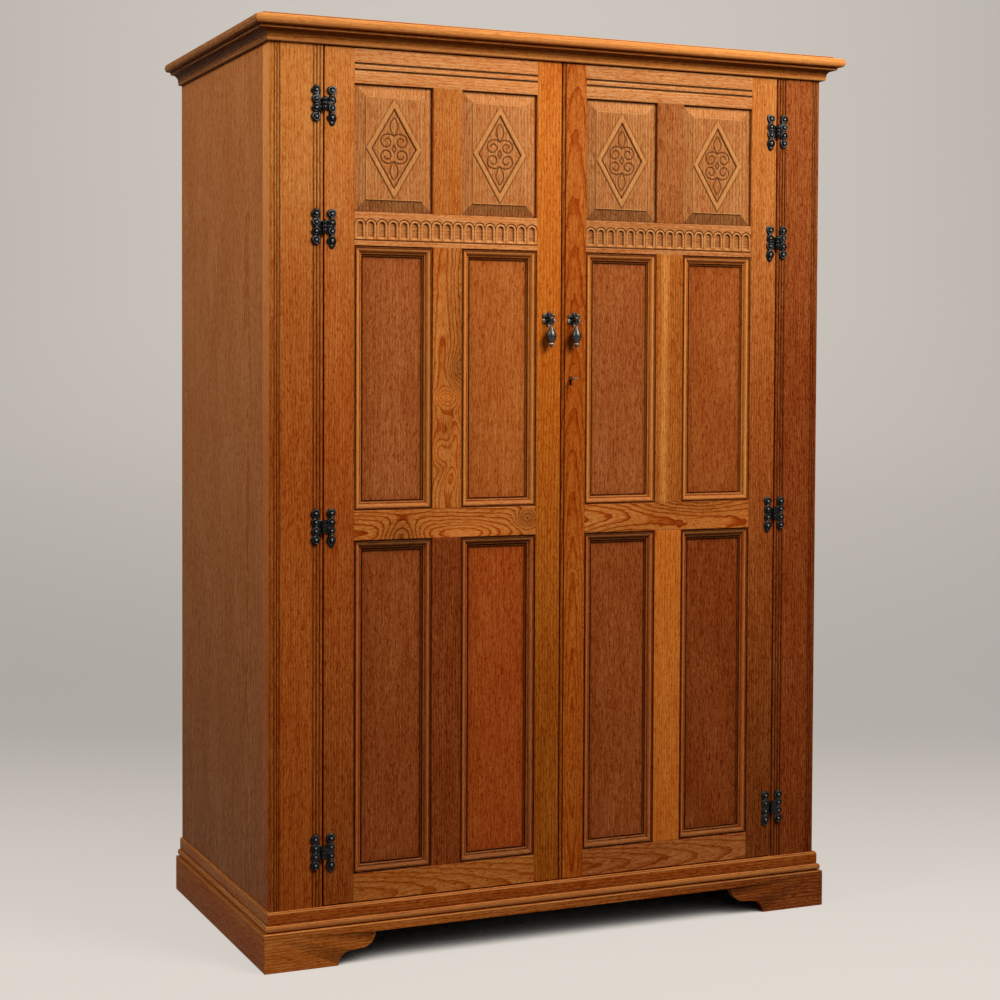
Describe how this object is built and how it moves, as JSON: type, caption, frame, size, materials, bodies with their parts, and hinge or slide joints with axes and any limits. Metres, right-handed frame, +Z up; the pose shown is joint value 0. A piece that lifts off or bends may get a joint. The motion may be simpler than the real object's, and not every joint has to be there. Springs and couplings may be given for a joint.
{
  "type": "wardrobe",
  "caption": "Free-standing panelled oak wardrobe: hinged doors with carved lozenge heads and moulded panels, a cornice, a bracket-foot plinth, a hanging rail and a hat shelf.",
  "frame": {"origin": "on the floor, in the middle of the overall box", "axes": "+Z up, -Y out of the doors, +X to the right of someone facing the doors"},
  "size_m": [1.31, 0.678, 1.83],
  "materials": {
    "frame_oak": "waxed, golden brown, satin",
    "carved_oak": "waxed, carved, satin",
    "panel_oak": "stained red-brown, satin",
    "side_oak": "veneered, satin",
    "carcase_ply": "plain inside timber, matt",
    "black_iron": "black lacquered casting",
    "dark_bronze": "dark bronzed casting",
    "lock_steel": "worn steel",
    "rail_brass": "lacquered tube"
  },
  "bodies": {
    "carcase": {"back_panel": "carcase_ply", "base_moulding_front": "frame_oak", "base_moulding_left": "frame_oak", "base_moulding_right": "frame_oak", "bottom_board": "carcase_ply", "bottom_rail": "frame_oak", "cornice_front": "frame_oak", "cornice_left": "frame_oak", "cornice_right": "frame_oak", "hanging_rail": "rail_brass", "hat_shelf": "carcase_ply", "head_rail": "frame_oak", "hinge_pins": "black_iron", "hinge_post_leaves": "black_iron", "left_corner_post": "frame_oak", "left_side_panel": "side_oak", "plinth_back": "carcase_ply", "plinth_blocks": "carcase_ply", "plinth_front": "frame_oak", "plinth_left": "frame_oak", "plinth_right": "frame_oak", "rail_sockets": "rail_brass", "right_corner_post": "frame_oak", "right_side_panel": "side_oak", "shelf_cleats": "carcase_ply", "top_board": "carcase_ply"},
    "left_door": {"left_bottom_rail": "frame_oak", "left_carved_panels": "carved_oak", "left_carved_rail": "frame_oak", "left_hinge_leaves": "black_iron", "left_hinge_stile": "frame_oak", "left_meeting_stile": "frame_oak", "left_middle_rail": "frame_oak", "left_muntins": "frame_oak", "left_panel_mouldings": "frame_oak", "left_plain_panels": "panel_oak", "left_pull_plate": "dark_bronze", "left_top_rail": "frame_oak", "lock_keeper": "lock_steel", "bolt_casings": "lock_steel"},
    "right_door": {"right_bottom_rail": "frame_oak", "right_carved_panels": "carved_oak", "right_carved_rail": "frame_oak", "right_hinge_leaves": "black_iron", "right_hinge_stile": "frame_oak", "right_meeting_stile": "frame_oak", "right_middle_rail": "frame_oak", "right_muntins": "frame_oak", "right_panel_mouldings": "frame_oak", "right_plain_panels": "panel_oak", "right_pull_plate": "dark_bronze", "right_top_rail": "frame_oak", "lock_case": "lock_steel"},
    "left_pull": {"left_pull_drop": "dark_bronze"},
    "right_pull": {"right_pull_drop": "dark_bronze"},
    "key": {"key": "lock_steel"},
    "lock_bolt": {"lock_bolt": "lock_steel"},
    "top_bolt": {"top_bolt": "lock_steel"},
    "bottom_bolt": {"bottom_bolt": "lock_steel"}
  },
  "joints": [
    {"name": "left_door_hinge", "type": "hinge", "parent": "carcase", "child": "left_door", "pos_m": [-0.5085, -0.3062, 0.222], "axis": [0, 0, -1], "range_deg": [0, 165]},
    {"name": "right_door_hinge", "type": "hinge", "parent": "carcase", "child": "right_door", "pos_m": [0.5085, -0.3062, 0.222], "axis": [0, 0, 1], "range_deg": [0, 165]},
    {"name": "left_pull_swing", "type": "hinge", "parent": "left_door", "child": "left_pull", "pos_m": [-0.02825, -0.3137, 1.262], "axis": [-1, 0, 0], "range_deg": [0, 90]},
    {"name": "right_pull_swing", "type": "hinge", "parent": "right_door", "child": "right_pull", "pos_m": [0.02825, -0.3137, 1.262], "axis": [-1, 0, 0], "range_deg": [0, 90]},
    {"name": "key_turn", "type": "hinge", "parent": "right_door", "child": "key", "pos_m": [0.0225, -0.301, 1.141], "axis": [0, 1, 0], "range_deg": [0, 180]},
    {"name": "lock_bolt_slide", "type": "slide", "parent": "right_door", "child": "lock_bolt", "axis": [-1, 0, 0], "range_m": [0, 0.016]},
    {"name": "top_bolt_slide", "type": "slide", "parent": "left_door", "child": "top_bolt", "axis": [0, 0, 1], "range_m": [0, 0.014]},
    {"name": "bottom_bolt_slide", "type": "slide", "parent": "left_door", "child": "bottom_bolt", "axis": [0, 0, -1], "range_m": [0, 0.014]}
  ],
  "couplings": [
    {"joint": "key_turn", "follows": "lock_bolt_slide", "rad_per_m": 196.3}
  ]
}
